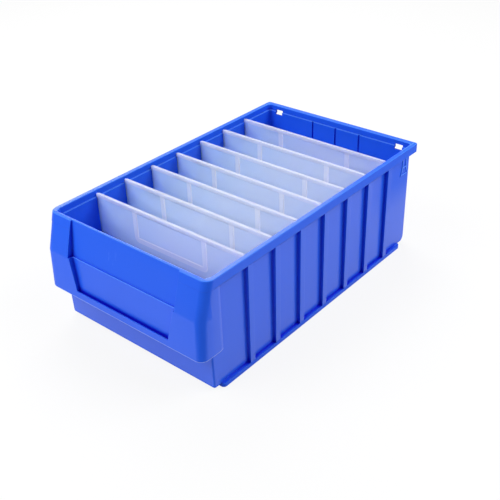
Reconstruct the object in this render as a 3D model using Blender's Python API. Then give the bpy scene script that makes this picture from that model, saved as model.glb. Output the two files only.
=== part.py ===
"""Hanging parts bin: one moulded tub with a pull bezel, and cross dividers that lift out of their slots.

Metres, +Z up. The origin is at the bottom centre, the bezel faces -Y and +X is to its right.
"""

import math

import bmesh
import bpy

# Overall size of the bin
LENGTH = 0.400
WIDTH = 0.235
HEIGHT = 0.140

# Tub walls
WALL = 0.0024
FLOOR = 0.0025
BASE_LIFT = 0.0025        # underside of the floor above the runners' feet
SIDE_STEP = 0.0051        # rim face to side panel, at the top
SIDE_DRAFT = 0.0004       # how far each side panel leans in towards the floor
FRONT_DRAFT = 0.0030
REAR_DRAFT = 0.0004
FRONT_CORNER = 0.0022
REAR_CORNER = 0.0055
BASE_ROUND = 0.0025
REAR_BASE_ROUND = 0.0090
CAVITY_ROUND = 0.0030
CAVITY_CORNER = 0.0026    # upright corners inside, at the front

# Rim
RIM_BAND = 0.0110         # height of the outer face
RIM_TOP_SIDE = 0.0057     # width of the flat top
RIM_TOP_REAR = 0.0066
RIM_TOP_FRONT = 0.0047
LEDGE_DROP = 0.0080       # rim top to the ledge inside
LEDGE_REAR = 0.0018
RIM_REAR_CORNER = 0.0030
RIM_INNER_CORNER = 0.0045
EDGE_ROUND = 0.0009

# Front bezel, a skirt that hangs from the rim and is open below for the fingers
BEZEL_DROP = 0.0890       # rim top to the foot of the skirt
CREASE_DROP = 0.0422      # rim top to the crease
RIM_SETBACK = 0.0150      # rim front edge behind the foot of the skirt
CREASE_SETBACK = 0.0025   # crease behind the foot of the skirt
BEZEL_CORNER = 0.0100
BEZEL_WRAP = 0.0325       # how far the skirt returns along each side
BEZEL_END = 0.0050        # length of the eased rear end of each return
BEZEL_TAPER = 0.0012      # how far the eased end closes on the side panel
BEZEL_INSET = 0.0003      # skirt face behind the rim face
SKIN = 0.0023

# Grip recess above the crease and label recess below it
RECESS_HALF = 0.0805
RECESS_TOP_DEPTH = 0.0017
RECESS_FOOT_DEPTH = 0.0073
LABEL_TOP_HALF = 0.0785
LABEL_FOOT_HALF = 0.0700
LABEL_TOP_DEPTH = 0.0057
LABEL_FOOT_DEPTH = 0.0046
LABEL_DROP = 0.0805       # rim top to the lip that holds the label
LABEL_LIP = 0.0014
LABEL_POCKET = 0.0040     # how far the label drops behind the lip

# Dividers, their slots in the side walls and the ribs that back the slots
DIVIDER_COUNT = 7
FRONT_BAY = 0.0577        # front wall to the first slot
REAR_BAY = 0.0536         # last slot to the rear wall
DIVIDER = 0.0020
DIVIDER_DROP = 0.0030     # rim top to the top of a divider
DIVIDER_CHAMFER = 0.0060
TOP_CORNER = 0.0015
BEAD_HEIGHT = 0.0045
BEAD_THICK = 0.0034
BEAD_STEP = 0.0003        # bead top above the panel's top
BEAD_GAP = 0.0015         # bead end to the side wall
FRAME_WIDTH = 0.1090
FRAME_DEPTH = 0.0420      # divider top to the foot of the raised frame
FRAME_OFFSET = 0.0035
FRAME_BAND = 0.0055
FRAME_PROUD = 0.0006
FRAME_ROUND = 0.0060
SLOT_PLAY = 0.0004
SLOT_FOOT = 0.0045        # floor to the foot of a slot
SEAT_GAP = 0.0003         # divider above the floor
RIB_WALL = 0.0024
RIB_INSET = 0.0002
RIB_DRAFT = 0.0013
RIB_FLANK = 0.0003        # how much wider each rib flank is at its root

# Rear wall slots for lengthwise dividers, hanging holes and hanging lip
REAR_SLOT_COUNT = 3
REAR_SLOT_PITCH = 0.0366
REAR_RIB_PROUD = 0.0042
HOLE_WIDTH = 0.0110
HOLE_HEIGHT = 0.0066
HOLE_SPAN = 0.1892        # between the centres of the two hanging holes
HOLE_DROP = 0.0058        # rim top to the top of a hole
LIP_HALF = 0.1040         # half the length of the hooked part of the rear lip
LIP_HEIGHT = 0.0060
LIP_WALL = 0.0022

# Base runners
RUNNER_HEIGHT = 0.0051
RUNNER_WIDTH = 0.0080
RUNNER_PROUD = 0.0001     # runner face beyond the foot of the ribs
RUNNER_FRONT = 0.0300     # front of the bin to the front of the runner
RUNNER_REAR = 0.0245
RUNNER_ROUND = 0.0042

# Flared locating frame on each side panel, near the rear
GUIDE_Y = 0.0216          # rear of the bin to the middle of the frame
GUIDE_DROP = 0.0250       # rim top to the top of the flare
GUIDE_HEIGHT = 0.0110
GUIDE_NECK_HALF = 0.0045
GUIDE_FOOT_HALF = 0.0080
GUIDE_PROUD = 0.0009
GUIDE_LINE = 0.0013

ARC_STEPS = 5
FLAT_LIMIT = 1e-5         # radians a face may twist before it is split
MARGIN = 0.0050           # how far cutters run past what they cut

# Places worked out from the sizes above
FRONT_Y = -LENGTH / 2
REAR_Y = LENGTH / 2
RIM_BASE_Z = HEIGHT - RIM_BAND
LEDGE_Z = HEIGHT - LEDGE_DROP
FLOOR_Z = BASE_LIFT + FLOOR
CREASE_Z = HEIGHT - CREASE_DROP
FOOT_Z = HEIGHT - BEZEL_DROP
LABEL_Z = HEIGHT - LABEL_DROP
RIM_FRONT_Y = FRONT_Y + RIM_SETBACK
INNER_FRONT_Y = RIM_FRONT_Y + RIM_TOP_FRONT
RIM_INNER_REAR_Y = REAR_Y - RIM_TOP_REAR
INNER_REAR_Y = RIM_INNER_REAR_Y - LEDGE_REAR
PANEL_X = WIDTH / 2 - SIDE_STEP
INNER_X = PANEL_X - WALL
RIM_INNER_X = WIDTH / 2 - RIM_TOP_SIDE
SLOT_WIDTH = DIVIDER + 2 * SLOT_PLAY
RIB_WIDTH = SLOT_WIDTH + 2 * RIB_WALL
SLOT_PITCH = (INNER_REAR_Y - INNER_FRONT_Y - FRONT_BAY - REAR_BAY) / (DIVIDER_COUNT - 1)
SLOT_YS = [INNER_FRONT_Y + FRONT_BAY + i * SLOT_PITCH for i in range(DIVIDER_COUNT)]
REAR_SLOT_XS = [(i - (REAR_SLOT_COUNT - 1) / 2) * REAR_SLOT_PITCH for i in range(REAR_SLOT_COUNT)]
DIVIDER_FOOT_Z = FLOOR_Z + SEAT_GAP


def lean(draft, z):
    """How far a drafted wall has moved in at height z."""
    return draft * (1 - z / HEIGHT)


def fillet_inset(radius, rise):
    """Inset of a rounded bottom edge at a height above its foot."""
    if rise >= radius:
        return 0.0
    return radius - math.sqrt(radius ** 2 - (radius - rise) ** 2)


def arc(cx, cy, radius, start, end):
    """Points of a circular arc, angles in degrees."""
    turn = [math.radians(start + (end - start) * i / ARC_STEPS) for i in range(ARC_STEPS + 1)]
    return [(cx + radius * math.cos(t), cy + radius * math.sin(t)) for t in turn]


def rounded_plan(half, front, rear, front_radius, rear_radius):
    """Plan of a rectangle with rounded front and rear corners, anticlockwise from the front right."""
    return (
        arc(half - front_radius, front + front_radius, front_radius, -90, 0)
        + arc(half - rear_radius, rear - rear_radius, rear_radius, 0, 90)
        + arc(-half + rear_radius, rear - rear_radius, rear_radius, 90, 180)
        + arc(-half + front_radius, front + front_radius, front_radius, 180, 270)
    )


def new_object(name, mesh_builder):
    quads = [face for face in mesh_builder.faces if len(face.verts) == 4]
    bmesh.ops.connect_verts_nonplanar(mesh_builder, angle_limit=FLAT_LIMIT, faces=quads)
    bmesh.ops.recalc_face_normals(mesh_builder, faces=mesh_builder.faces)
    mesh = bpy.data.meshes.new(name)
    mesh_builder.to_mesh(mesh)
    mesh_builder.free()
    obj = bpy.data.objects.new(name, mesh)
    bpy.context.scene.collection.objects.link(obj)
    return obj


def add_loft(bm, rings):
    """Closed skin through rings of 3-D points that all have the same count."""
    loops = [[bm.verts.new(point) for point in ring] for ring in rings]
    count = len(loops[0])
    for low, high in zip(loops, loops[1:]):
        for i in range(count):
            j = (i + 1) % count
            bm.faces.new((low[i], low[j], high[j], high[i]))
    bm.faces.new(list(reversed(loops[0])))
    bm.faces.new(loops[-1])


def loft(name, sections):
    """Solid through plan sections, each a list of (x, y) points and a height."""
    bm = bmesh.new()
    add_loft(bm, [[(x, y, z) for x, y in plan] for plan, z in sections])
    return new_object(name, bm)


def cross_prism(name, outline, half_width):
    """Solid of a (y, z) outline run across the bin, half_width(z) to each side."""
    bm = bmesh.new()
    rings = [[(side * half_width(z), y, z) for y, z in outline] for side in (-1, 1)]
    add_loft(bm, rings)
    return new_object(name, bm)


def add_box(bm, xs, ys, zs):
    corners = [(xs[0], ys[0]), (xs[1], ys[0]), (xs[1], ys[1]), (xs[0], ys[1])]
    add_loft(bm, [[(x, y, z) for x, y in corners] for z in zs])


def use_tool(target, tool, operation):
    """Boolean the tool into the target and keep it as a hidden guide."""
    change = target.modifiers.new(tool.name, "BOOLEAN")
    change.operation = operation
    change.solver = "EXACT"
    change.object = tool
    tool.hide_render = True
    tool.display_type = "WIRE"


def join_on(target, tool):
    use_tool(target, tool, "UNION")


def cut_out(target, tool):
    use_tool(target, tool, "DIFFERENCE")


def tub_block():
    """Outside of the tub below the rim, drafted, with its rear base edge well rounded."""
    top_front = INNER_FRONT_Y - WALL
    top_rear = INNER_REAR_Y + WALL
    steps = [REAR_BASE_ROUND * (1 - math.cos(math.pi / 2 * i / ARC_STEPS)) for i in range(ARC_STEPS + 1)]
    heights = [BASE_LIFT + rise for rise in steps] + [RIM_BASE_Z + RIM_BAND / 2]
    sections = []
    for z in heights:
        small = fillet_inset(BASE_ROUND, z - BASE_LIFT)
        large = fillet_inset(REAR_BASE_ROUND, z - BASE_LIFT)
        half = PANEL_X - lean(SIDE_DRAFT, z) - small
        front = top_front + lean(FRONT_DRAFT, z) + small
        rear = top_rear - lean(REAR_DRAFT, z) - large
        sections.append((rounded_plan(half, front, rear, FRONT_CORNER, REAR_CORNER), z))
    return loft("bin_body", sections)


def front_line(z):
    """Y of the bezel's front face at height z."""
    crease_y = FRONT_Y + CREASE_SETBACK
    if z >= CREASE_Z:
        return crease_y + (RIM_FRONT_Y - crease_y) * (z - CREASE_Z) / CREASE_DROP
    return crease_y + (FRONT_Y - crease_y) * (CREASE_Z - z) / (CREASE_Z - FOOT_Z)


def rim_block():
    """Band round the top of the bin, with a rounded top edge."""
    turns = [math.pi / 4 * i for i in range(3)]
    levels = [(RIM_BASE_Z, 0.0)]
    for t in turns:
        levels.append((HEIGHT - EDGE_ROUND * (1 - math.sin(t)), EDGE_ROUND * (1 - math.cos(t))))
    sections = []
    for z, inset in levels:
        plan = rounded_plan(
            WIDTH / 2 - inset,
            front_line(z) - BEZEL_INSET + inset,
            REAR_Y - inset,
            BEZEL_CORNER,
            RIM_REAR_CORNER,
        )
        sections.append((plan, z))
    return loft("rim_guide", sections)


def skirt_plan(z, inset):
    """Plan of the bezel at height z, its sides closing on the tub towards the rear."""
    half = WIDTH / 2 - BEZEL_INSET - inset
    back = FRONT_Y + BEZEL_WRAP - inset
    front = front_line(z) + inset
    radius = BEZEL_CORNER - inset
    right = arc(half - radius, front + radius, radius, -90, 0)
    right += [(half, back - BEZEL_END), (half - BEZEL_TAPER, back)]
    left = [(-x, y) for x, y in reversed(right)]
    return right + left


def upper_recess(depth):
    """Outline of the grip recess, moved back by depth."""
    top_y = RIM_FRONT_Y + RECESS_TOP_DEPTH + depth
    foot_y = front_line(CREASE_Z) + RECESS_FOOT_DEPTH + depth
    ahead = FRONT_Y - MARGIN
    over = HEIGHT + MARGIN
    low = CREASE_Z - depth
    return [(top_y, over), (top_y, HEIGHT), (foot_y, low), (ahead, low), (ahead, over)]


def label_line(z):
    """Y of the label's backing at height z."""
    top_y = front_line(CREASE_Z) + LABEL_TOP_DEPTH
    foot_y = front_line(LABEL_Z) + LABEL_FOOT_DEPTH
    return foot_y + (top_y - foot_y) * (z - LABEL_Z) / (CREASE_Z - LABEL_Z)


def label_recess():
    """Outline of the label recess, from the grip recess down into the pocket behind the lip."""
    lip_y = front_line(LABEL_Z) + LABEL_LIP
    ahead = FRONT_Y - MARGIN
    over = CREASE_Z + MARGIN
    low = LABEL_Z - LABEL_POCKET
    pocket = [(label_line(low), low), (lip_y, low), (lip_y, LABEL_Z)]
    return [(label_line(over), over)] + pocket + [(ahead, LABEL_Z), (ahead, over)]


def label_skin():
    """Outline that keeps a full skin behind the label recess and round its pocket."""
    ahead = FRONT_Y - MARGIN
    over = CREASE_Z + MARGIN
    low = LABEL_Z - LABEL_POCKET - SKIN
    return [(label_line(over) + SKIN, over), (label_line(low) + SKIN, low), (ahead, low), (ahead, over)]


def label_half(z):
    """Half width of the label recess, which narrows downwards."""
    share = (z - LABEL_Z) / (CREASE_Z - LABEL_Z)
    return LABEL_FOOT_HALF + (LABEL_TOP_HALF - LABEL_FOOT_HALF) * share


def bezel():
    """Skirt round the front: a drafted block, recessed and hollowed from below."""
    inside_rim = RIM_BASE_Z + RIM_BAND / 4
    skirt = loft("bezel_guide", [(skirt_plan(z, 0.0), z) for z in (FOOT_Z, CREASE_Z, inside_rim)])
    below = FOOT_Z - MARGIN
    hollow = loft("bezel_hollow", [(skirt_plan(z, SKIN), z) for z in (below, CREASE_Z, RIM_BASE_Z)])
    cut_out(hollow, cross_prism("grip_back", upper_recess(SKIN), lambda z: RECESS_HALF + SKIN))
    cut_out(hollow, cross_prism("label_back", label_skin(), lambda z: label_half(z) + SKIN))
    cut_out(skirt, hollow)
    return skirt


def side_rib(bm, y, side):
    """Outer rib that backs one divider slot, drafted and a little wider at its root."""
    rings = []
    for z in (RUNNER_HEIGHT / 2, RIM_BASE_Z + RIM_BAND / 4):
        face = WIDTH / 2 - RIB_INSET - lean(RIB_DRAFT, z)
        root = INNER_X + WALL / 2
        half = RIB_WIDTH / 2
        wide = half + RIB_FLANK
        ring = [(root, y - wide), (face, y - half), (face, y + half), (root, y + wide)]
        rings.append([(side * x, py, z) for x, py in ring])
    add_loft(bm, rings)


def rear_rib(bm, x):
    """Outer rib behind one slot of the rear wall."""
    rings = []
    for z in (BASE_LIFT + REAR_BASE_ROUND, RIM_BASE_Z):
        root = INNER_REAR_Y - lean(REAR_DRAFT, z) + WALL / 2
        face = root + WALL / 2 + REAR_RIB_PROUD
        half = RIB_WIDTH / 2
        wide = half + RIB_FLANK
        ring = [(x - wide, root), (x + wide, root), (x + half, face), (x - half, face)]
        rings.append([(px, py, z) for px, py in ring])
    add_loft(bm, rings)


def ribs():
    bm = bmesh.new()
    for side in (-1, 1):
        for y in SLOT_YS:
            side_rib(bm, y, side)
    for x in REAR_SLOT_XS:
        rear_rib(bm, x)
    return new_object("rib_guide", bm)


def runners():
    """Feet along both sides of the base, with rounded outer ends."""
    outer = WIDTH / 2 - RIB_INSET - RIB_DRAFT + RUNNER_PROUD
    inner = outer - RUNNER_WIDTH
    front = FRONT_Y + RUNNER_FRONT
    rear = REAR_Y - RUNNER_REAR
    plan = [(inner, front)]
    plan += arc(outer - RUNNER_ROUND, front + RUNNER_ROUND, RUNNER_ROUND, -90, 0)
    plan += arc(outer - RUNNER_ROUND, rear - RUNNER_ROUND, RUNNER_ROUND, 0, 90)
    plan += [(inner, rear)]
    bm = bmesh.new()
    for side in (-1, 1):
        add_loft(bm, [[(side * x, y, z) for x, y in plan] for z in (0.0, RUNNER_HEIGHT)])
    return new_object("runner_guide", bm)


def mirrored(right, middle):
    """Outline of (y, z) points from its half on one side of a middle line."""
    left = [(-y, z) for y, z in reversed(right)]
    return [(middle + y, z) for y, z in right + left]


def guide_outlines():
    """Outside of the locating frame, then the spaces inside its neck and its flare."""
    middle = REAR_Y - GUIDE_Y
    top = RIM_BASE_Z + RIM_BAND / 4
    shoulder = HEIGHT - GUIDE_DROP
    low = shoulder - GUIDE_HEIGHT
    inner_neck = GUIDE_NECK_HALF - GUIDE_LINE
    inner_foot = GUIDE_FOOT_HALF - GUIDE_LINE
    outside = [(GUIDE_NECK_HALF, top), (GUIDE_NECK_HALF, shoulder), (GUIDE_FOOT_HALF, low)]
    neck = [(inner_neck, top), (inner_neck, shoulder)]
    flare = [(inner_neck, shoulder - GUIDE_LINE), (inner_foot, low + GUIDE_LINE)]
    return [mirrored(half, middle) for half in (outside, neck, flare)]


def side_plates(name, outline, depths):
    """An outline of (y, z) points as a plate on each side wall, between two half widths."""
    bm = bmesh.new()
    for side in (-1, 1):
        add_loft(bm, [[(side * x, y, z) for y, z in outline] for x in depths])
    return new_object(name, bm)


def cavity():
    """Inside of the tub, drafted with the walls, rounded at the floor."""
    rises = [CAVITY_ROUND * (1 - math.cos(math.pi / 2 * i / 3)) for i in range(4)]
    levels = [(FLOOR_Z + rise, fillet_inset(CAVITY_ROUND, rise)) for rise in rises]
    levels += [(HEIGHT - EDGE_ROUND, 0.0), (HEIGHT, -EDGE_ROUND), (HEIGHT + MARGIN, -EDGE_ROUND)]
    sections = []
    for z, inset in levels:
        drafted = min(z, HEIGHT)
        plan = rounded_plan(
            INNER_X - lean(SIDE_DRAFT, drafted) - inset,
            INNER_FRONT_Y + lean(FRONT_DRAFT, drafted) + inset,
            INNER_REAR_Y - lean(REAR_DRAFT, drafted) - inset,
            CAVITY_CORNER,
            REAR_CORNER - WALL,
        )
        sections.append((plan, z))
    return loft("cavity_cut", sections)


def rim_cavity():
    """Wider mouth above the ledge, at the sides and the rear."""
    levels = [(LEDGE_Z, 0.0), (HEIGHT - EDGE_ROUND, 0.0), (HEIGHT, EDGE_ROUND), (HEIGHT + MARGIN, EDGE_ROUND)]
    front = INNER_FRONT_Y + WALL
    sections = []
    for z, flare in levels:
        plan = rounded_plan(
            RIM_INNER_X + flare, front - flare, RIM_INNER_REAR_Y + flare, RIM_INNER_CORNER, RIM_INNER_CORNER
        )
        sections.append((plan, z))
    return loft("mouth_cut", sections)


def slots():
    """Channels for the dividers in the side walls, and for lengthwise dividers in the rear wall."""
    bm = bmesh.new()
    half = SLOT_WIDTH / 2
    levels = (FLOOR_Z + SLOT_FOOT, LEDGE_Z + MARGIN / 4)
    for side in (-1, 1):
        for y in SLOT_YS:
            rings = []
            for z in levels:
                floor_x = slot_floor(z)
                start = INNER_X - MARGIN
                ring = [(start, y - half), (floor_x, y - half), (floor_x, y + half), (start, y + half)]
                rings.append([(side * x, py, z) for x, py in ring])
            add_loft(bm, rings)
    for x in REAR_SLOT_XS:
        rings = []
        for z in levels:
            floor_y = RIM_INNER_REAR_Y - SLOT_PLAY / 4 - lean(REAR_DRAFT, z)
            start = INNER_REAR_Y - MARGIN
            ring = [(x - half, start), (x + half, start), (x + half, floor_y), (x - half, floor_y)]
            rings.append([(px, py, z) for px, py in ring])
        add_loft(bm, rings)
    return new_object("slot_cut", bm)


def slot_floor(z):
    """X of a side slot's floor, in line with the rim's inner face."""
    return RIM_INNER_X - SLOT_PLAY / 4 - lean(SIDE_DRAFT, z)


def hanging_holes():
    """Two holes through the rear wall, under the lip."""
    bm = bmesh.new()
    top = HEIGHT - HOLE_DROP
    for side in (-1, 1):
        middle = side * HOLE_SPAN / 2
        xs = (middle - HOLE_WIDTH / 2, middle + HOLE_WIDTH / 2)
        add_box(bm, xs, (INNER_REAR_Y - MARGIN, REAR_Y - LIP_WALL), (top - HOLE_HEIGHT, top))
    return new_object("hole_cut", bm)


def lip_relief():
    """Space behind the rear wall that leaves a hooked lip along the rear rim."""
    wall_y = RIM_INNER_REAR_Y + WALL
    face_y = REAR_Y - LIP_WALL
    low = RIM_BASE_Z - MARGIN / 5
    lip_z = HEIGHT - LIP_HEIGHT
    roof_z = HEIGHT - LIP_WALL
    past = REAR_Y + MARGIN
    outline = [(wall_y, low), (past, low), (past, lip_z), (face_y, lip_z), (face_y, roof_z), (wall_y, roof_z)]
    return cross_prism("lip_cut", outline, lambda z: LIP_HALF)


def bin_body():
    """The moulding: everything that is added first, then everything that is cut away."""
    body = tub_block()
    proud = PANEL_X + GUIDE_PROUD
    outside, neck, flare = guide_outlines()
    join_on(body, side_plates("guide_pad", outside, (INNER_X + WALL / 2, proud)))
    cut_out(body, side_plates("neck_cut", neck, (PANEL_X, proud + MARGIN)))
    cut_out(body, side_plates("flare_cut", flare, (PANEL_X, proud + MARGIN)))
    join_on(body, rim_block())
    join_on(body, bezel())
    cut_out(body, cross_prism("grip_cut", upper_recess(0.0), lambda z: RECESS_HALF))
    cut_out(body, cross_prism("label_cut", label_recess(), label_half))
    join_on(body, ribs())
    join_on(body, runners())
    cut_out(body, cavity())
    cut_out(body, rim_cavity())
    cut_out(body, slots())
    cut_out(body, lip_relief())
    cut_out(body, hanging_holes())
    return body


def divider_panel():
    """Flat panel whose ends run in the slots, in (x, z) from its foot."""
    top = HEIGHT - DIVIDER_DROP - BEAD_STEP - DIVIDER_FOOT_Z
    top_half = slot_floor(HEIGHT) - SLOT_PLAY
    foot_half = slot_floor(DIVIDER_FOOT_Z) - SLOT_PLAY
    right = [(foot_half - DIVIDER_CHAMFER, 0.0), (foot_half, DIVIDER_CHAMFER)]
    right += arc(top_half - TOP_CORNER, top - TOP_CORNER, TOP_CORNER, 0, 90)
    left = [(-x, z) for x, z in reversed(right)]
    bm = bmesh.new()
    add_loft(bm, [[(x, y, z) for x, z in right + left] for y in (-DIVIDER / 2, DIVIDER / 2)])
    return new_object("divider_guide", bm)


def divider_bead():
    """Thick bead along the top of a divider."""
    top = HEIGHT - DIVIDER_DROP - DIVIDER_FOOT_Z
    half = INNER_X - BEAD_GAP
    bm = bmesh.new()
    add_box(bm, (-half, half), (-BEAD_THICK / 2, BEAD_THICK / 2), (top - BEAD_HEIGHT, top))
    return new_object("bead_guide", bm)


def divider_frame():
    """Raised U-shaped frame on the front face of a divider, hanging from the bead."""
    top = HEIGHT - DIVIDER_DROP - DIVIDER_FOOT_Z
    head = top - BEAD_HEIGHT / 2
    outer = u_outline(FRAME_WIDTH / 2, head, top - FRAME_DEPTH, FRAME_ROUND)
    inner = u_outline(
        FRAME_WIDTH / 2 - FRAME_BAND, head, top - FRAME_DEPTH + FRAME_BAND, FRAME_ROUND - FRAME_BAND / 2
    )
    outline = outer + list(reversed(inner))
    bm = bmesh.new()
    depths = (-DIVIDER / 2 - FRAME_PROUD, -DIVIDER / 4)
    add_loft(bm, [[(x + FRAME_OFFSET, y, z) for x, z in outline] for y in depths])
    return new_object("frame_guide", bm)


def u_outline(half, head, foot, radius):
    """Open U in (x, z): down the left, round the foot and up the right."""
    left = arc(-half + radius, foot + radius, radius, 180, 270)
    right = arc(half - radius, foot + radius, radius, 270, 360)
    return [(-half, head)] + left + right + [(half, head)]


def divider_mesh():
    """One divider, shared by all the slots."""
    panel = divider_panel()
    join_on(panel, divider_bead())
    join_on(panel, divider_frame())
    shaped = panel.evaluated_get(bpy.context.evaluated_depsgraph_get())
    mesh = bpy.data.meshes.new_from_object(shaped)
    mesh.name = "divider"
    bpy.data.objects.remove(panel)
    return mesh


def dividers():
    mesh = divider_mesh()
    mesh.materials.append(plastic("frosted_plastic", (0.62, 0.68, 0.86), 0.45, 0.6))
    for number, y in enumerate(SLOT_YS, start=1):
        divider = bpy.data.objects.new(f"divider_{number}", mesh)
        divider.location = (0.0, y, DIVIDER_FOOT_Z)
        bpy.context.scene.collection.objects.link(divider)


def plastic(name, color, roughness, transmission):
    material = bpy.data.materials.new(name)
    material.use_nodes = True
    shader = material.node_tree.nodes["Principled BSDF"]
    shader.inputs["Base Color"].default_value = (*color, 1.0)
    shader.inputs["Roughness"].default_value = roughness
    shader.inputs["Metallic"].default_value = 0.0
    shader.inputs["Transmission Weight"].default_value = transmission
    return material


def main():
    for obj in list(bpy.data.objects):
        bpy.data.objects.remove(obj)
    body = bin_body()
    body.data.materials.append(plastic("blue_plastic", (0.02, 0.09, 0.72), 0.3, 0.0))
    dividers()


main()
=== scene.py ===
"""Looks of a hanging parts bin: one blue moulded tub and seven frosted dividers that lift out."""

import math

import bmesh
import bpy
from mathutils import Matrix, Vector


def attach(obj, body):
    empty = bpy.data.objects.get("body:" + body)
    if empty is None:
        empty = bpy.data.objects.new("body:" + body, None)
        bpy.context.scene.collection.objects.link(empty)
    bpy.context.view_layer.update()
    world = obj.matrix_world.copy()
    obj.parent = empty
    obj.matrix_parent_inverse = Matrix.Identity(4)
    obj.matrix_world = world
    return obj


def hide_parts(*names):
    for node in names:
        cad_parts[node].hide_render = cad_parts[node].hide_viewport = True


MM = 0.001
WHITE = (1.0, 1.0, 1.0, 1.0)

# The photograph's viewpoint, in a square picture. Angles are in degrees, and the lens in millimetres.
VIEW_AZIMUTH = 41.027
VIEW_ELEVATION = 32.067
VIEW_ROLL = -2.142
VIEW_PLACE = (0.561555, -0.633409, 0.569911)
SENSOR_WIDTH = 36.0
LENS = 58.862

# Rounding of the moulded edges. Steps under HAIR_STEP are closed first, as a rounding has no room there.
MERGE = 0.001 * MM
HAIR_STEP = 0.31 * MM
FLAT_ANGLE = math.radians(0.4)
EDGE_ANGLE = math.radians(32.0)
TUB_ROUND = 0.3 * MM
DIVIDER_ROUND = 0.28 * MM
ROUND_STEPS = 2
RUNNER_CORNER = 5.1 * MM
LEVEL_SLACK = 0.3 * MM

# The tub's colours, as linear colours: the plastic and its clouds, a painted shade for corners, painted
# highlights, and scratches.
BLUE = (0.018, 0.116, 0.83, 1.0)
BLUE_CLOUD = (0.015, 0.106, 0.79, 1.0)
BLUE_SHADE = (0.005, 0.008, 0.60, 1.0)
BLUE_EDGE_HIGHLIGHT = (0.070, 0.260, 0.97, 1.0)
BLUE_LINE_HIGHLIGHT = (0.100, 0.310, 0.97, 1.0)
BLUE_FOOT_HIGHLIGHT = (0.320, 0.450, 0.92, 1.0)
BLUE_SCUFF = (0.065, 0.190, 0.88, 1.0)

# The dividers' colours, as linear colours: a painted shade for the left ends, the plain frost, the thick
# strips with painted highlights, and the bead.
FROST_LEFT_SHADE = (0.54, 0.72, 0.98, 1.0)
FROST = (0.69, 0.79, 0.98, 1.0)
FROST_THICK_AND_HIGHLIGHT = (1.0, 0.98, 1.0, 1.0)
FROST_BEAD = (0.82, 0.84, 0.97, 1.0)

# Masks of edges, for painted highlights, and of corners, for painted shade. EDGE_TURN is the cosine of a
# normal's turn, where an edge starts and is full.
# CORNER_ROOM is the open share of the space around a point, where a corner starts and is full.
EDGE_TURN = (0.98, 0.80)
EDGE_SAMPLES = 6
CORNER_ROOM = (0.80, 0.50)
CORNER_SAMPLES = 8
TUB_EDGE = {"Width": 1.0 * MM, "Reach": 9.0 * MM}
TUB_EDGE_SHARE = 0.9
DIVIDER_EDGE = {"Width": 0.5 * MM, "Reach": 2.0 * MM}
DIVIDER_EDGE_SHARE = 0.3

# Clouds in the pigment, which vary the roughness, and the fine grain of a moulded face.
TUB_GRAIN = {"Cloud Scale": 14.0, "Grain Scale": 900.0}
DIVIDER_GRAIN = {"Cloud Scale": 30.0, "Grain Scale": 700.0}
GRAIN_DETAIL = 3.0
GRAIN_STRENGTH = 0.05
GRAIN_DEPTH = 0.2 * MM
CLOUD_RANGE = (0.3, 0.7)
TUB_ROUGHNESS = (0.30, 0.38)
DIVIDER_ROUGHNESS = (0.14, 0.20)

# The tub's gloss grows as a face turns away from the eye.
GLOSS_TURN = (0.22, 0.36)
GLOSS = 0.70
TUB_SKIN = {"Coat IOR": 1.5, "Coat Roughness": 0.2, "Specular IOR Level": 0.06}

# The dividers are milky and let half of the light through.
DIVIDER_BODY = {
    "Subsurface Weight": 0.8,
    "Subsurface Radius": (1.0, 1.0, 1.0),
    "Subsurface Scale": 15.0 * MM,
    "Transmission Weight": 0.5,
    "IOR": 1.08,
}

# A divider's thick strips: the bead along its top, and the U-shaped frame on its face.
BEAD_FOOT = 132.5 * MM
FRAME_MIDDLE = 3.5 * MM
FRAME_HALF = 54.5 * MM
FRAME_FOOT = 95.0 * MM
FRAME_ROUND = 6.0 * MM
FRAME_BAND = 5.5 * MM
FRAME_SHARE = 0.6
STRIP_BLUR = 0.35 * MM

# Painted shade: the dividers are bluer and darker at the left, and plain frost from the middle on.
LEFT_SHADE_FULL = -95.0 * MM
LEFT_SHADE_GONE = 5.0 * MM

# Where gloss is rubbed off: the front above the crease, the rim, the runners, and the sides near the rack
# that the bin hangs on. Pairs of gloss shares run from left to right, or from the front to the rear.
CREASE = 97.8 * MM
CREASE_BLUR = 1.5 * MM
GRIP_HALF = 70.0 * MM
GRIP_REAR = -181.5 * MM
GRIP_GLOSS = (0.0, 0.2)
LABEL_GLOSS = (0.5, 0.8)
RIM_FOOT = 129.0 * MM
RIM_GLOSS = (0.5, 0.0)
RUNNER_TOP = 5.3 * MM
RACK_FOOT = 62.0 * MM
RACK_TOP = 97.0 * MM
RACK_FRONT = 95.0 * MM
RACK_REAR = 158.0 * MM
MATT_GLOSS = 0.2

# A painted highlight: a thin light hairline along the foot of the bezel.
FOOT_HIGHLIGHT_LEVEL = 51.0 * MM
FOOT_HIGHLIGHT_WIDTH = 0.8 * MM
FOOT_HIGHLIGHT_REAR = -167.4 * MM

# Painted highlights along edges: the ledge between the grip and label recesses, the rim's top, the step
# inside the rim, and the locating frames.
LEDGE_HALF = 78.5 * MM
LEDGE_FRONT = -193.0 * MM
LEDGE_REAR = -191.2 * MM
LEDGE_HIGHLIGHT_WIDTH = 1.0 * MM
LEDGE_SHARE = 0.6
RIM_EDGE_FOOT = 139.0 * MM
RIM_EDGE_TOP = 139.95 * MM
RIM_SHARE = 0.4
STEP_LEVEL = 132.0 * MM
STEP_HIGHLIGHT_WIDTH = 0.7 * MM
STEP_HALF = 112.3 * MM
STEP_FRONT = -181.0 * MM
STEP_REAR = 194.0 * MM
STEP_SHARE = 0.6
GUIDE_FOOT = 112.7 * MM
GUIDE_FACE = 113.6 * MM
GUIDE_FRONT = 168.0 * MM
GUIDE_SHARE = 0.7

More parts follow.
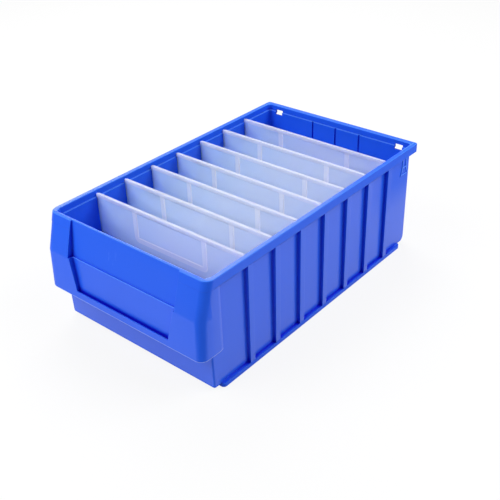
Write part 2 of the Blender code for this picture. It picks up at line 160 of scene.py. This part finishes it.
# Scratches in the grip recess: fine across the bin, and long upright.
SCUFF_PLACE = (-18.0 * MM, -187.0 * MM, 119.5 * MM)
SCUFF_REACH = 12.0 * MM
SCUFF_SCALE = (700.0, 1.0, 70.0)
SCUFF_DETAIL = 1.0
SCUFF_RANGE = (0.61, 0.71)

# Stage: a sheet of pale paper, and square softboxes around the bin.
PAPER_COLOUR = (0.75, 0.75, 0.75, 1.0)
PAPER_LIFT = 0.87
FLOOR_HALF = 3.0
AMBIENT = 0.02
LAMP_DISTANCE = 1.8
# name: azimuth and elevation in degrees, side in metres, power in watts
SOFTBOXES = {
    "key_softbox": (-28.0, 46.0, 1.2, 25.0),
    "front_softbox": (-20.0, 4.0, 0.6, 4.5),
    "right_softbox": (122.0, 45.0, 1.2, 25.0),
    "left_softbox": (-130.0, 48.0, 1.2, 24.0),
}


def merged_solid(node):
    """A node's solid as one joined mesh, with whole flat faces and no hair-wide steps between them."""
    solid = bmesh.new()
    solid.from_mesh(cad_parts[node].data)
    for distance in (MERGE, HAIR_STEP):
        bmesh.ops.remove_doubles(solid, verts=solid.verts, dist=distance)
        bmesh.ops.dissolve_limit(
            solid,
            angle_limit=FLAT_ANGLE,
            use_dissolve_boundaries=False,
            verts=solid.verts[:],
            edges=solid.edges[:],
        )
    bmesh.ops.connect_verts_concave(solid, faces=solid.faces[:])
    return solid


def lies_at(edge, level):
    """Whether an edge runs along one level."""
    return all(abs(corner.co.z - level) < LEVEL_SLACK for corner in edge.verts)


def round_edges(solid, width):
    """Soften the sharp moulded edges, except on the runners' tops, where the ribs end."""
    edges = [edge for edge in solid.edges if not lies_at(edge, RUNNER_CORNER)]
    sharp = [edge for edge in edges if edge.calc_face_angle(0.0) > EDGE_ANGLE]
    bmesh.ops.bevel(
        solid,
        geom=sharp,
        offset=width,
        offset_type="OFFSET",
        affect="EDGES",
        segments=ROUND_STEPS,
        profile=0.5,
        material=-1,
        clamp_overlap=False,
    )


def finish_piece(solid, name, node, body, material):
    """Put a finished mesh in the scene in place of its node."""
    mesh = bpy.data.meshes.new(name)
    solid.to_mesh(mesh)
    solid.free()
    mesh.shade_smooth()
    mesh.set_sharp_from_angle(angle=EDGE_ANGLE)
    mesh.materials.append(material)
    piece = bpy.data.objects.new(name, mesh)
    bpy.context.scene.collection.objects.link(piece)
    normals = piece.modifiers.new("flat_faces_stay_flat", "WEIGHTED_NORMAL")
    normals.keep_sharp = True
    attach(piece, body)
    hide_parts(node)


def make_tub(material):
    solid = merged_solid("bin_body")
    round_edges(solid, TUB_ROUND)
    finish_piece(solid, "tub", "bin_body", "bin", material)


def make_dividers(material):
    for name in sorted(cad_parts):
        if name.startswith("divider"):
            solid = merged_solid(name)
            round_edges(solid, DIVIDER_ROUND)
            finish_piece(solid, name + "_panel", name, name + "_body", material)


def wired(tree, kind, inputs, **settings):
    """A node with its settings made, and its inputs joined to sockets or given plain values."""
    node = tree.nodes.new(kind)
    for name, setting in settings.items():
        setattr(node, name, setting)
    for name, source in inputs.items():
        if isinstance(source, bpy.types.NodeSocket):
            tree.links.new(source, node.inputs[name])
        else:
            node.inputs[name].default_value = source
    return node


def maths(tree, operation, *values):
    """The result of one operation, repeated along the list where there are more than two values."""
    node = wired(tree, "ShaderNodeMath", dict(enumerate(values[:2])), operation=operation)
    result = node.outputs["Value"]
    for value in values[2:]:
        result = maths(tree, operation, result, value)
    return result


def distance_from(tree, value, middle):
    """How far a value lies from a middle, on either side."""
    return maths(tree, "ABSOLUTE", maths(tree, "SUBTRACT", value, middle))


def ramp(tree, value, start, end, low=0.0, high=1.0):
    """A value moved from one range to another, and held at both ends."""
    ends = {"Value": value, "From Min": start, "From Max": end, "To Min": low, "To Max": high}
    return wired(tree, "ShaderNodeMapRange", ends).outputs["Result"]


def between(tree, value, low, high):
    """1 where a value lies between two ends."""
    over = maths(tree, "GREATER_THAN", value, low)
    return maths(tree, "MULTIPLY", over, maths(tree, "LESS_THAN", value, high))


def level_line(tree, height, level, width):
    """A hairline at one level."""
    return ramp(tree, distance_from(tree, height, level), width, width / 2)


def mixed(tree, share, first, second):
    """One colour laid over another by a share."""
    inputs = {"Factor": share, "A": first, "B": second}
    return wired(tree, "ShaderNodeMix", inputs, data_type="RGBA").outputs["Result"]


def layered(tree, colour, layers):
    """A colour with others laid over it, each by its own share."""
    for share, overlay_colour in layers:
        colour = mixed(tree, share, colour, overlay_colour)
    return colour


def new_group(name, inputs, outputs):
    """An empty shader group with its named sockets."""
    tree = bpy.data.node_groups.new(name, "ShaderNodeTree")
    for title, kind in inputs.items():
        tree.interface.new_socket(title, in_out="INPUT", socket_type=kind)
    for title in outputs:
        tree.interface.new_socket(title, in_out="OUTPUT", socket_type="NodeSocketFloat")
    return tree, tree.nodes.new("NodeGroupInput").outputs, tree.nodes.new("NodeGroupOutput").inputs


def edge_group():
    """Masks of the outer edges, for painted highlights, and of the inner corners, for painted shade."""
    sizes = {"Width": "NodeSocketFloat", "Reach": "NodeSocketFloat"}
    tree, given, masks = new_group("edge_highlight_and_corner_shade", sizes, ("Edge Highlight", "Corner Shade"))
    eased = wired(tree, "ShaderNodeBevel", {"Radius": given["Width"]}, samples=EDGE_SAMPLES)
    surface = tree.nodes.new("ShaderNodeNewGeometry")
    normals = {0: eased.outputs["Normal"], 1: surface.outputs["Normal"]}
    turn = wired(tree, "ShaderNodeVectorMath", normals, operation="DOT_PRODUCT")
    room = wired(
        tree,
        "ShaderNodeAmbientOcclusion",
        {"Distance": given["Reach"]},
        samples=CORNER_SAMPLES,
        only_local=True,
    )
    corner = ramp(tree, room.outputs["AO"], *CORNER_ROOM)
    edge = ramp(tree, turn.outputs["Value"], *EDGE_TURN)
    open_edge = maths(tree, "SUBTRACT", edge, corner)
    tree.links.new(ramp(tree, open_edge, 0.0, 1.0), masks["Edge Highlight"])
    tree.links.new(corner, masks["Corner Shade"])
    return tree


def grain_group():
    """Clouding of the pigment, and the fine grain of a moulded face."""
    sizes = {
        "Place": "NodeSocketVector",
        "Cloud Scale": "NodeSocketFloat",
        "Grain Scale": "NodeSocketFloat",
    }
    tree, given, masks = new_group("moulding_grain", sizes, ("Cloud", "Grain"))
    for title in ("Cloud", "Grain"):
        inputs = {"Vector": given["Place"], "Scale": given[title + " Scale"], "Detail": GRAIN_DETAIL}
        noise = wired(tree, "ShaderNodeTexNoise", inputs)
        tree.links.new(noise.outputs["Fac"], masks[title])
    return tree


def new_material(name, plain):
    """A node material with its shader joined to the output, and the shader's plain values set."""
    material = bpy.data.materials.new(name)
    material.use_nodes = True
    tree = material.node_tree
    tree.nodes.clear()
    shader = wired(tree, "ShaderNodeBsdfPrincipled", plain)
    wired(tree, "ShaderNodeOutputMaterial", {"Surface": shader.outputs["BSDF"]})
    return material, tree, shader


def placed_grain(tree, shader, grain, place, scales, roughness):
    """Lay the grain group's clouds and grain on a shader, and give the clouds back for its colour."""
    mottle = wired(tree, "ShaderNodeGroup", {"Place": place, **scales}, node_tree=grain).outputs
    tree.links.new(ramp(tree, mottle["Cloud"], *CLOUD_RANGE, *roughness), shader.inputs["Roughness"])
    relief = {"Height": mottle["Grain"], "Strength": GRAIN_STRENGTH, "Distance": GRAIN_DEPTH}
    bump = wired(tree, "ShaderNodeBump", relief)
    tree.links.new(bump.outputs["Normal"], shader.inputs["Normal"])
    return mottle["Cloud"]


def scuff_mask(tree, place):
    """A few short upright scratches in the grip recess."""
    upright = {"Vector": place, "Scale": SCUFF_SCALE}
    stretched = wired(tree, "ShaderNodeMapping", upright, vector_type="POINT")
    streaks = {"Vector": stretched.outputs["Vector"], "Scale": 1.0, "Detail": SCUFF_DETAIL}
    noise = wired(tree, "ShaderNodeTexNoise", streaks)
    away = wired(tree, "ShaderNodeVectorMath", {0: place, 1: SCUFF_PLACE}, operation="DISTANCE")
    near = ramp(tree, away.outputs["Value"], SCUFF_REACH, SCUFF_REACH / 3)
    return maths(tree, "MULTIPLY", ramp(tree, noise.outputs["Fac"], *SCUFF_RANGE), near)


def handled_gloss(tree, axes):
    """The share of gloss left where the bin is rubbed matt."""
    grip = ramp(tree, axes["X"], -GRIP_HALF, GRIP_HALF, *GRIP_GLOSS)
    label = ramp(tree, axes["X"], -GRIP_HALF, GRIP_HALF, *LABEL_GLOSS)
    above = ramp(tree, axes["Z"], CREASE - CREASE_BLUR, CREASE + CREASE_BLUR, label, grip)
    behind = ramp(tree, axes["Y"], GRIP_REAR - CREASE_BLUR, GRIP_REAR)
    front = maths(tree, "MAXIMUM", above, behind)
    worn = ramp(tree, axes["Y"], GRIP_REAR, -GRIP_REAR, *RIM_GLOSS)
    rim = ramp(tree, axes["Z"], RIM_FOOT - CREASE_BLUR, RIM_FOOT + CREASE_BLUR, 1.0, worn)
    high = ramp(tree, axes["Z"], RACK_FOOT, RACK_TOP)
    rear = ramp(tree, axes["Y"], RACK_FRONT, RACK_REAR)
    rack = ramp(tree, maths(tree, "MULTIPLY", high, rear), 0.0, 1.0, 1.0, MATT_GLOSS)
    foot = ramp(tree, axes["Z"], RUNNER_TOP, RUNNER_TOP + CREASE_BLUR, MATT_GLOSS, 1.0)
    return maths(tree, "MULTIPLY", front, rim, rack, foot)


def foot_highlight_mask(tree, axes):
    """A painted highlight: a light hairline along the foot of the bezel."""
    ahead = maths(tree, "LESS_THAN", axes["Y"], FOOT_HIGHLIGHT_REAR)
    return maths(tree, "MULTIPLY", level_line(tree, axes["Z"], FOOT_HIGHLIGHT_LEVEL, FOOT_HIGHLIGHT_WIDTH), ahead)


def line_highlight_mask(tree, axes):
    """Painted highlights: lines on the ledge, the rim's top and the step inside it, and on the locating
    frames.
    """
    width = maths(tree, "ABSOLUTE", axes["X"])
    ahead = between(tree, axes["Y"], LEDGE_FRONT, LEDGE_REAR)
    over_label = maths(tree, "LESS_THAN", width, LEDGE_HALF)
    ledge_line = level_line(tree, axes["Z"], CREASE, LEDGE_HIGHLIGHT_WIDTH)
    ledge = maths(tree, "MULTIPLY", ledge_line, ahead, over_label, LEDGE_SHARE)
    rim = maths(tree, "MULTIPLY", between(tree, axes["Z"], RIM_EDGE_FOOT, RIM_EDGE_TOP), RIM_SHARE)
    within = between(tree, axes["Y"], STEP_FRONT, STEP_REAR)
    inside = maths(tree, "LESS_THAN", width, STEP_HALF)
    step_line = level_line(tree, axes["Z"], STEP_LEVEL, STEP_HIGHLIGHT_WIDTH)
    step = maths(tree, "MULTIPLY", step_line, within, inside, STEP_SHARE)
    proud = between(tree, width, GUIDE_FOOT, GUIDE_FACE)
    near_rear = maths(tree, "GREATER_THAN", axes["Y"], GUIDE_FRONT)
    guide = maths(tree, "MULTIPLY", proud, near_rear, GUIDE_SHARE)
    return maths(tree, "MAXIMUM", ledge, rim, step, guide)


def blue_plastic(edges, grain):
    """The tub's plastic: painted shade in its corners, painted highlights on its edges, light scratches,
    and glossy where it isn't handled.
    """
    material, tree, shader = new_material("blue_plastic", TUB_SKIN)
    place = tree.nodes.new("ShaderNodeTexCoord").outputs["Object"]
    axes = wired(tree, "ShaderNodeSeparateXYZ", {"Vector": place}).outputs
    edge = wired(tree, "ShaderNodeGroup", TUB_EDGE, node_tree=edges).outputs
    cloud = placed_grain(tree, shader, grain, place, TUB_GRAIN, TUB_ROUGHNESS)
    layers = (
        # Painted shade in corners, painted highlights on edges, lines and the bezel's foot, then real
        # scratches.
        (edge["Corner Shade"], BLUE_SHADE),
        (maths(tree, "MULTIPLY", edge["Edge Highlight"], TUB_EDGE_SHARE), BLUE_EDGE_HIGHLIGHT),
        (line_highlight_mask(tree, axes), BLUE_LINE_HIGHLIGHT),
        (foot_highlight_mask(tree, axes), BLUE_FOOT_HIGHLIGHT),
        (scuff_mask(tree, place), BLUE_SCUFF),
    )
    colour = layered(tree, mixed(tree, cloud, BLUE_CLOUD, BLUE), layers)
    tree.links.new(colour, shader.inputs["Base Color"])
    facing = tree.nodes.new("ShaderNodeLayerWeight").outputs["Facing"]
    turned = ramp(tree, facing, *GLOSS_TURN, 0.0, GLOSS)
    gloss = maths(tree, "MULTIPLY", turned, handled_gloss(tree, axes))
    tree.links.new(gloss, shader.inputs["Coat Weight"])
    return material


def strip_masks(tree, axes):
    """Where a divider is thick: its frame and its bead, with a painted highlight along the frame's edges.
    """
    across = distance_from(tree, axes["X"], FRAME_MIDDLE)
    over = maths(tree, "SUBTRACT", across, FRAME_HALF - FRAME_ROUND)
    under = maths(tree, "SUBTRACT", FRAME_FOOT + FRAME_ROUND, axes["Z"])
    past = {"X": maths(tree, "MAXIMUM", over, 0.0), "Y": maths(tree, "MAXIMUM", under, 0.0)}
    outside = wired(tree, "ShaderNodeCombineXYZ", past)
    length = wired(tree, "ShaderNodeVectorMath", {0: outside.outputs["Vector"]}, operation="LENGTH")
    inside = maths(tree, "MINIMUM", maths(tree, "MAXIMUM", over, under), 0.0)
    edge = maths(tree, "ADD", length.outputs["Value"], inside)
    half = FRAME_BAND / 2
    middle = distance_from(tree, edge, FRAME_ROUND - half)
    band = ramp(tree, middle, half + STRIP_BLUR, half - STRIP_BLUR, 0.0, FRAME_SHARE)
    # A painted highlight along the edges of the frame band.
    line = ramp(tree, distance_from(tree, middle, half), 3 * STRIP_BLUR, STRIP_BLUR)
    bead = ramp(tree, axes["Z"], BEAD_FOOT - STRIP_BLUR, BEAD_FOOT + STRIP_BLUR)
    return maths(tree, "MAXIMUM", band, line), bead


def frosted_plastic(edges, grain):
    """The dividers' plastic: milky, half clear, bluer at the left as painted shade, lighter where it is
    thick, and with painted highlights on its edges.
    """
    material, tree, shader = new_material("frosted_plastic", DIVIDER_BODY)
    place = tree.nodes.new("ShaderNodeTexCoord").outputs["Object"]
    axes = wired(tree, "ShaderNodeSeparateXYZ", {"Vector": place}).outputs
    edge = wired(tree, "ShaderNodeGroup", DIVIDER_EDGE, node_tree=edges).outputs
    placed_grain(tree, shader, grain, place, DIVIDER_GRAIN, DIVIDER_ROUGHNESS)
    frame_strips, bead = strip_masks(tree, axes)
    # Painted highlight on the divider's edges.
    edge_highlight = maths(tree, "MULTIPLY", edge["Edge Highlight"], DIVIDER_EDGE_SHARE)
    layers = (
        # Painted shade: bluer and darker towards the left end.
        (ramp(tree, axes["X"], LEFT_SHADE_FULL, LEFT_SHADE_GONE), FROST),
        (maths(tree, "MAXIMUM", frame_strips, edge_highlight), FROST_THICK_AND_HIGHLIGHT),
        (bead, FROST_BEAD),
    )
    tree.links.new(layered(tree, FROST_LEFT_SHADE, layers), shader.inputs["Base Color"])
    return material


def seen_directly(tree):
    """A value that is 1 for the rays that show the stage: to the eye, in gloss and through the dividers."""
    path = tree.nodes.new("ShaderNodeLightPath").outputs
    kinds = ("Is Camera Ray", "Is Glossy Ray", "Is Transmission Ray")
    return maths(tree, "MAXIMUM", *(path[kind] for kind in kinds))


def paper():
    """Pale matt paper that looks nearly white to the eye, and still takes the bin's shadow."""
    plain = {"Base Color": PAPER_COLOUR, "Roughness": 1.0, "Specular IOR Level": 0.0}
    material, tree, shader = new_material("floor_paper", plain)
    lift = maths(tree, "MULTIPLY", seen_directly(tree), PAPER_LIFT)
    white = tree.nodes.new("ShaderNodeEmission")
    parts = {"Fac": lift, 1: shader.outputs["BSDF"], 2: white.outputs["Emission"]}
    blend = wired(tree, "ShaderNodeMixShader", parts)
    tree.links.new(blend.outputs["Shader"], tree.nodes["Material Output"].inputs["Surface"])
    return material


def make_floor():
    sheet = bmesh.new()
    bmesh.ops.create_grid(sheet, x_segments=1, y_segments=1, size=FLOOR_HALF)
    mesh = bpy.data.meshes.new("floor")
    sheet.to_mesh(mesh)
    sheet.free()
    mesh.materials.append(paper())
    floor = bpy.data.objects.new("floor", mesh)
    bpy.context.scene.collection.objects.link(floor)


def direction(azimuth, elevation):
    """From the bin outward, at an azimuth and an elevation in degrees."""
    turn = math.radians(azimuth)
    rise = math.radians(elevation)
    return Vector((math.sin(turn) * math.cos(rise), -math.cos(turn) * math.cos(rise), math.sin(rise)))


def add_softbox(name, azimuth, elevation, side, power):
    """A square softbox that faces the bin."""
    away = direction(azimuth, elevation)
    light = bpy.data.lights.new(name, "AREA")
    light.shape = "SQUARE"
    light.size = side
    light.energy = power
    lamp = bpy.data.objects.new(name, light)
    lamp.location = away * LAMP_DISTANCE
    lamp.rotation_euler = away.to_track_quat("Z", "Y").to_euler()
    bpy.context.scene.collection.objects.link(lamp)


def make_lights():
    for name, setting in SOFTBOXES.items():
        add_softbox(name, *setting)
    world = bpy.data.worlds.new("studio")
    world.use_nodes = True
    tree = world.node_tree
    background = tree.nodes["Background"].inputs
    background["Color"].default_value = WHITE
    tree.links.new(ramp(tree, seen_directly(tree), 0.0, 1.0, AMBIENT, 1.0), background["Strength"])
    bpy.context.scene.world = world


def make_camera():
    back = direction(VIEW_AZIMUTH, VIEW_ELEVATION)
    level = direction(VIEW_AZIMUTH + 90.0, 0.0)
    upright = back.cross(level)
    roll = math.radians(VIEW_ROLL)
    right = level * math.cos(roll) + upright * math.sin(roll)
    up = upright * math.cos(roll) - level * math.sin(roll)
    data = bpy.data.cameras.new("view")
    data.sensor_width = SENSOR_WIDTH
    data.lens = LENS
    camera = bpy.data.objects.new("view", data)
    axes = Matrix((right, up, back)).transposed().to_4x4()
    camera.matrix_world = Matrix.Translation(VIEW_PLACE) @ axes
    bpy.context.scene.collection.objects.link(camera)
    bpy.context.scene.camera = camera


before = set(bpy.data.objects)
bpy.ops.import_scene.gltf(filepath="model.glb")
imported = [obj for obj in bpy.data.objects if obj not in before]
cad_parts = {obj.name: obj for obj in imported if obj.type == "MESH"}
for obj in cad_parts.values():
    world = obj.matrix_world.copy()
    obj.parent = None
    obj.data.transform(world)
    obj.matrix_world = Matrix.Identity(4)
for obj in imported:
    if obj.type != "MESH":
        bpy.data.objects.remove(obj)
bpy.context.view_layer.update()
make_camera()
edge_highlight_and_corner_shade = edge_group()
moulding_grain = grain_group()
make_tub(blue_plastic(edge_highlight_and_corner_shade, moulding_grain))
make_dividers(frosted_plastic(edge_highlight_and_corner_shade, moulding_grain))
make_floor()
make_lights()
bpy.context.scene.view_settings.view_transform = "Standard"
